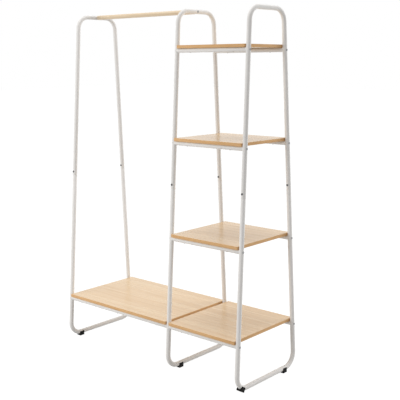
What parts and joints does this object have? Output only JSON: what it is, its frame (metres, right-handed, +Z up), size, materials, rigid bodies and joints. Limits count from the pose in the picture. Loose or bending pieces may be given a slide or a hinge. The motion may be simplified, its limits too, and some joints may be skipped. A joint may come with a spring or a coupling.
{
  "type": "coat stand",
  "caption": "Open clothes rack of white bent-tube loops: a round wooden hanging rod over a long low board, beside a narrow tower of wood-look shelves.",
  "frame": {"origin": "centre of the overall box, on the floor", "axes": "+X along the hanging rod towards the shelf tower, +Y to the back, +Z up"},
  "size_m": [1.0124, 0.3956, 1.5005],
  "materials": {
    "white_paint": "satin powder coat",
    "board": "matt wood-look laminate",
    "edge_band": "matt edge band",
    "rod_wood": "satin turned wood",
    "foot_plastic": "matt",
    "fastener_steel": "zinc plated",
    "dark_steel": "dark plated"
  },
  "bodies": {
    "root": {"upper_hoop_left": "white_paint", "upper_hoop_middle": "white_paint", "upper_hoop_right": "white_paint", "lower_hoop_left": "white_paint", "lower_hoop_middle": "white_paint", "lower_hoop_right": "white_paint", "top_shelf_front_rail": "white_paint", "top_shelf_rear_rail": "white_paint", "second_shelf_front_rail": "white_paint", "second_shelf_rear_rail": "white_paint", "third_shelf_front_rail": "white_paint", "third_shelf_rear_rail": "white_paint", "bottom_shelf_front_rail": "white_paint", "bottom_shelf_rear_rail": "white_paint", "wide_shelf_front_rail": "white_paint", "wide_shelf_rear_rail": "white_paint", "top_shelf_board": "board", "second_shelf_board": "board", "third_shelf_board": "board", "bottom_shelf_board": "board", "wide_shelf_board": "board", "top_shelf_edge_band": "edge_band", "second_shelf_edge_band": "edge_band", "third_shelf_edge_band": "edge_band", "bottom_shelf_edge_band": "edge_band", "wide_shelf_edge_band": "edge_band", "hanging_rod": "rod_wood", "left_front_foot": "foot_plastic", "left_rear_foot": "foot_plastic", "middle_front_foot": "foot_plastic", "middle_rear_foot": "foot_plastic", "right_front_foot": "foot_plastic", "right_rear_foot": "foot_plastic", "frame_bolts": "fastener_steel", "rail_end_nuts": "fastener_steel", "rod_insert_nuts": "fastener_steel", "shelf_screws": "fastener_steel", "middle_leg_studs": "fastener_steel", "joint_screws": "dark_steel"}
  },
  "joints": []
}
